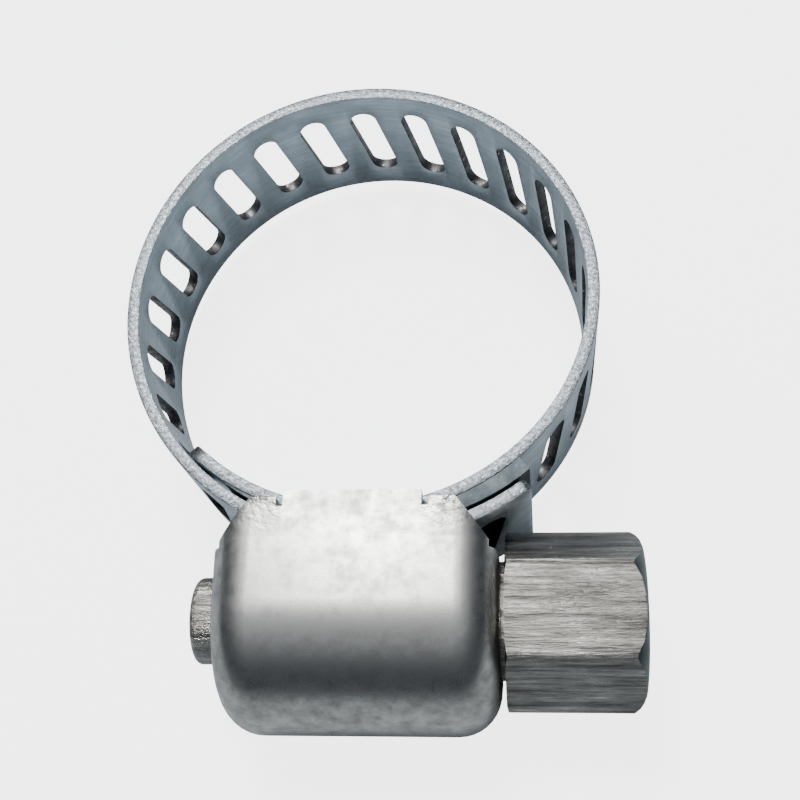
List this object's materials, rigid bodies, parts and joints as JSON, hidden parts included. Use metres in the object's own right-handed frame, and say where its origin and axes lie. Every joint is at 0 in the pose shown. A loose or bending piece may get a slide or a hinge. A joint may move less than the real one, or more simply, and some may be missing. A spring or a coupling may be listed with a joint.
{
  "type": "hose clamp",
  "caption": "Small worm-drive hose clamp with a perforated band, a drawn housing and a hex-head screw that tightens the loop when it is turned.",
  "frame": {"origin": "centre of the hose seat, halfway across the band", "axes": "+Z along the hose axis, +X along the screw towards its head, -Y towards the housing"},
  "size_m": [0.0233, 0.0301, 0.01],
  "materials": {
    "housing_steel": "satin drawn stainless steel",
    "band_steel": "smooth rolled stainless strip",
    "screw_steel": "drawn and plated, with lines along the head"
  },
  "bodies": {
    "housing_body": {"housing": "housing_steel", "saddle_plate": "housing_steel", "band_inner_run": "band_steel"},
    "screw": {"worm_screw": "screw_steel"},
    "right_flank": {"band_right_flank": "band_steel"},
    "right_shoulder": {"band_right_shoulder": "band_steel"},
    "crown": {"band_crown": "band_steel"},
    "left_shoulder": {"band_left_shoulder": "band_steel"},
    "left_flank": {"band_left_flank": "band_steel"},
    "free_run": {"band_free_run": "band_steel"}
  },
  "joints": [
    {"name": "screw_turn", "type": "hinge", "parent": "housing_body", "child": "screw", "pos_m": [0, -0.0144, 0], "axis": [-1, 0, 0], "range_deg": [-135, 720]},
    {"name": "flex_right_flank", "type": "hinge", "parent": "housing_body", "child": "right_flank", "pos_m": [0.009, -0.00537, 0], "axis": [0, 0, 1], "range_deg": [-1.58, 8.34]},
    {"name": "flex_right_shoulder", "type": "hinge", "parent": "right_flank", "child": "right_shoulder", "pos_m": [0.01024, 0.00221, 0], "axis": [0, 0, 1], "range_deg": [-0.81, 4.23]},
    {"name": "flex_crown", "type": "hinge", "parent": "right_shoulder", "child": "crown", "pos_m": [0.00598, 0.0086, 0], "axis": [0, 0, 1], "range_deg": [-0.39, 2]},
    {"name": "flex_left_shoulder", "type": "hinge", "parent": "crown", "child": "left_shoulder", "pos_m": [-0.00149, 0.01037, 0], "axis": [0, 0, 1], "range_deg": [-0.28, 1.44]},
    {"name": "flex_left_flank", "type": "hinge", "parent": "left_shoulder", "child": "left_flank", "pos_m": [-0.00816, 0.00657, 0], "axis": [0, 0, 1], "range_deg": [-0.62, 3.27]},
    {"name": "flex_free_run", "type": "hinge", "parent": "left_flank", "child": "free_run", "pos_m": [-0.01063, -0.00072, 0], "axis": [0, 0, 1], "range_deg": [-1.44, 7.59]}
  ],
  "couplings": [
    {"joint": "flex_right_flank", "follows": "screw_turn", "ratio": 0.011567},
    {"joint": "flex_right_shoulder", "follows": "screw_turn", "ratio": 0.0058583},
    {"joint": "flex_crown", "follows": "screw_turn", "ratio": 0.0027612},
    {"joint": "flex_left_shoulder", "follows": "screw_turn", "ratio": 0.0019777},
    {"joint": "flex_left_flank", "follows": "screw_turn", "ratio": 0.004515},
    {"joint": "flex_free_run", "follows": "screw_turn", "ratio": 0.010523}
  ]
}
